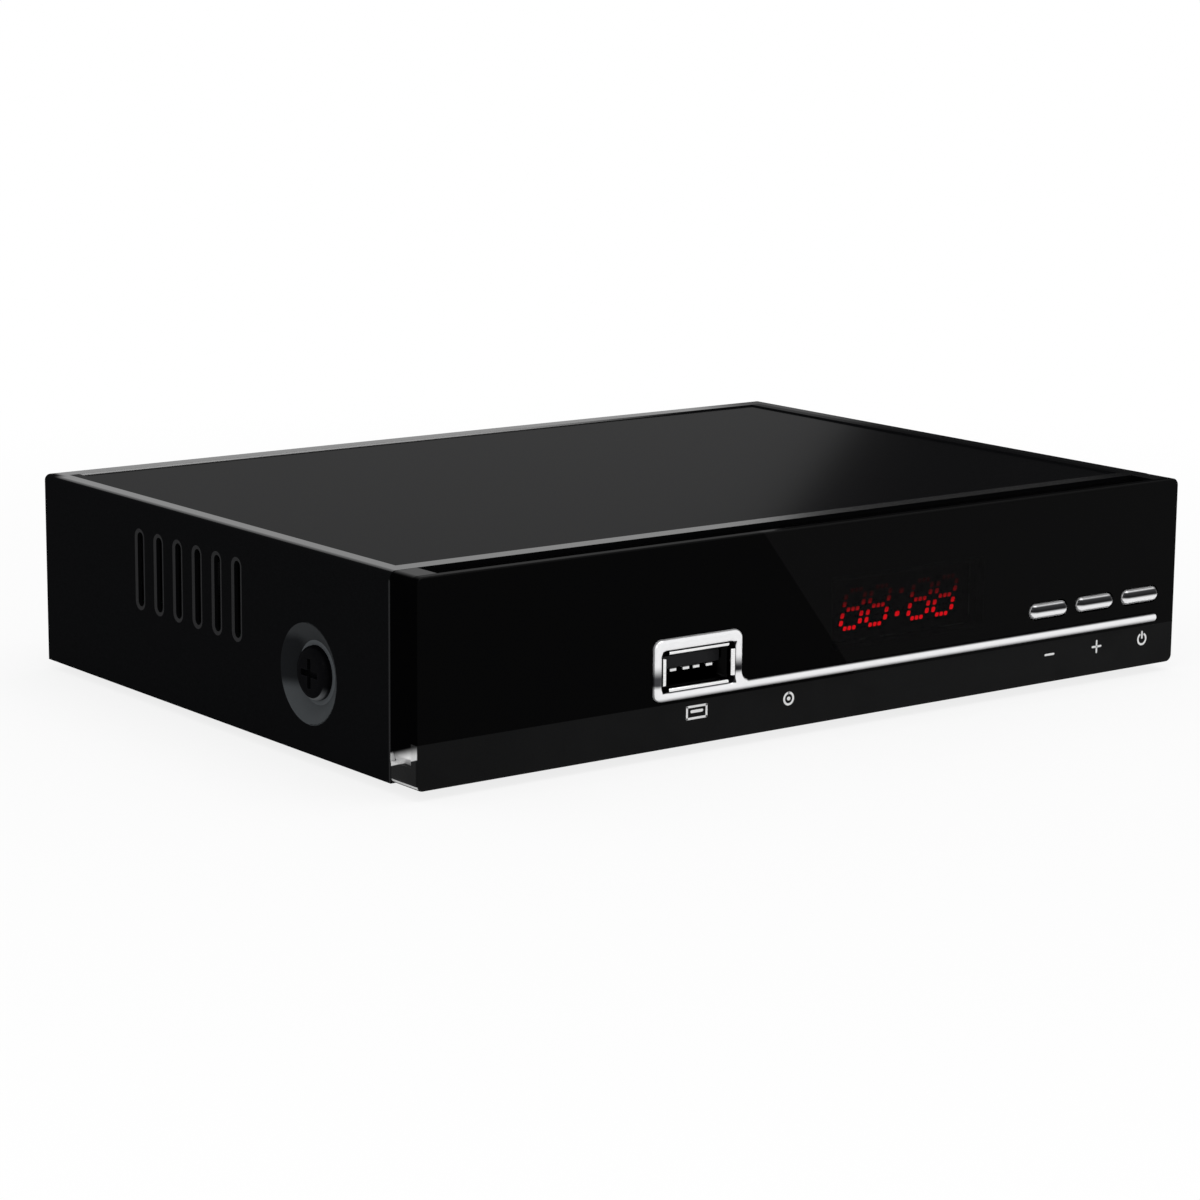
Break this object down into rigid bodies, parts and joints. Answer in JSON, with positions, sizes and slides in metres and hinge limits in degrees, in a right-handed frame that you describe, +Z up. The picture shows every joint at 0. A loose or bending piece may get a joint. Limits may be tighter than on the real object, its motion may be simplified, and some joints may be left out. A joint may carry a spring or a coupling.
{
  "type": "satellite tv receiver",
  "caption": "Small set-top satellite receiver: folded steel case, glossy front with display, USB socket and chromed keys that press in, aerial and AV sockets behind.",
  "frame": {"origin": "middle of the footprint, keys and rear sockets included, on the surface that the rubber feet stand on", "axes": "+X to the right seen from the front, +Y from the front towards the rear sockets, +Z up"},
  "size_m": [0.155, 0.1218, 0.033],
  "materials": {
    "case_steel": "black powder paint, satin with a fine grain",
    "blackened_screws": "black oxide, satin",
    "zinc_screws": "zinc plate, satin",
    "gloss_front": "polished black",
    "matt_front": "fine matt texture",
    "chrome_plate": "bright plating",
    "switch_black": "smooth black",
    "socket_steel": "nickel-plated sheet",
    "tongue_grey": "dark grey",
    "gilt": "gold flash",
    "display_dark": "dark grey face",
    "display_red": "red diffusing bars",
    "eye_dark": "infra-red filter plastic",
    "board_green": "solder mask over glass laminate",
    "brass_plain": "turned",
    "ribbon_grey": "flexible grey ribbon",
    "plug_cream": "cream nylon",
    "chip_black": "moulded package",
    "small_tan": "fired ceramic",
    "pad_blue": "soft silicone",
    "sink_aluminium": "extruded, anodised",
    "can_aluminium": "drawn can",
    "coil_grey": "pressed ferrite",
    "tinned_steel": "tinned sheet",
    "nickel": "nickel plate",
    "insulator_white": "white insulator",
    "core_yellow": "yellow insulator",
    "core_white": "white insulator",
    "core_red": "red insulator",
    "foot_rubber": "moulded rubber"
  },
  "bodies": {
    "receiver": {"rubber_feet": "foot_rubber", "base_tray": "case_steel", "top_cover": "case_steel", "side_screws": "blackened_screws", "rear_screws": "blackened_screws", "front_lens": "gloss_front", "front_body": "gloss_front", "front_chin": "matt_front", "chrome_trim": "chrome_plate", "key_switches": "switch_black", "front_board_screws": "zinc_screws", "front_panel_screws": "zinc_screws", "main_board_screws": "zinc_screws", "usb_shell": "socket_steel", "usb_tongue": "tongue_grey", "usb_contacts": "tinned_steel", "display_module": "display_dark", "display_segments": "display_red", "remote_eye": "eye_dark", "front_board": "board_green", "main_board": "board_green", "board_standoffs": "brass_plain", "ribbon_cable": "ribbon_grey", "ribbon_socket_front": "plug_cream", "ribbon_socket_main": "plug_cream", "processor": "chip_black", "memory_chips": "chip_black", "flash_chip": "chip_black", "regulators": "chip_black", "small_parts": "small_tan", "thermal_pad": "pad_blue", "heat_sink": "sink_aluminium", "crystal": "can_aluminium", "capacitors": "can_aluminium", "power_coils": "coil_grey", "tuner_box": "tinned_steel", "tuner_lid": "tinned_steel", "aerial_barrel": "nickel", "aerial_washer": "nickel", "aerial_nut": "nickel", "aerial_insulator": "insulator_white", "aerial_contact": "gilt", "av_housing": "switch_black", "av_rings": "nickel", "video_core": "core_yellow", "audio_left_core": "core_white", "audio_right_core": "core_red", "hdmi_shell": "socket_steel", "hdmi_tongue": "switch_black", "hdmi_contacts": "gilt", "power_jack_body": "switch_black", "power_jack_pin": "nickel"},
    "channel_down_key": {"key_channel_down": "chrome_plate", "plunger_channel_down": "switch_black"},
    "channel_up_key": {"key_channel_up": "chrome_plate", "plunger_channel_up": "switch_black"},
    "power_key": {"key_power": "chrome_plate", "plunger_power": "switch_black"}
  },
  "joints": [
    {"name": "channel_down_key_press", "type": "slide", "parent": "receiver", "child": "channel_down_key", "axis": [0, 1, 0], "range_m": [0, 0.0004], "stiffness_N_per_m": 3000},
    {"name": "channel_up_key_press", "type": "slide", "parent": "receiver", "child": "channel_up_key", "axis": [0, 1, 0], "range_m": [0, 0.0004], "stiffness_N_per_m": 3000},
    {"name": "power_key_press", "type": "slide", "parent": "receiver", "child": "power_key", "axis": [0, 1, 0], "range_m": [0, 0.0004], "stiffness_N_per_m": 3000}
  ]
}
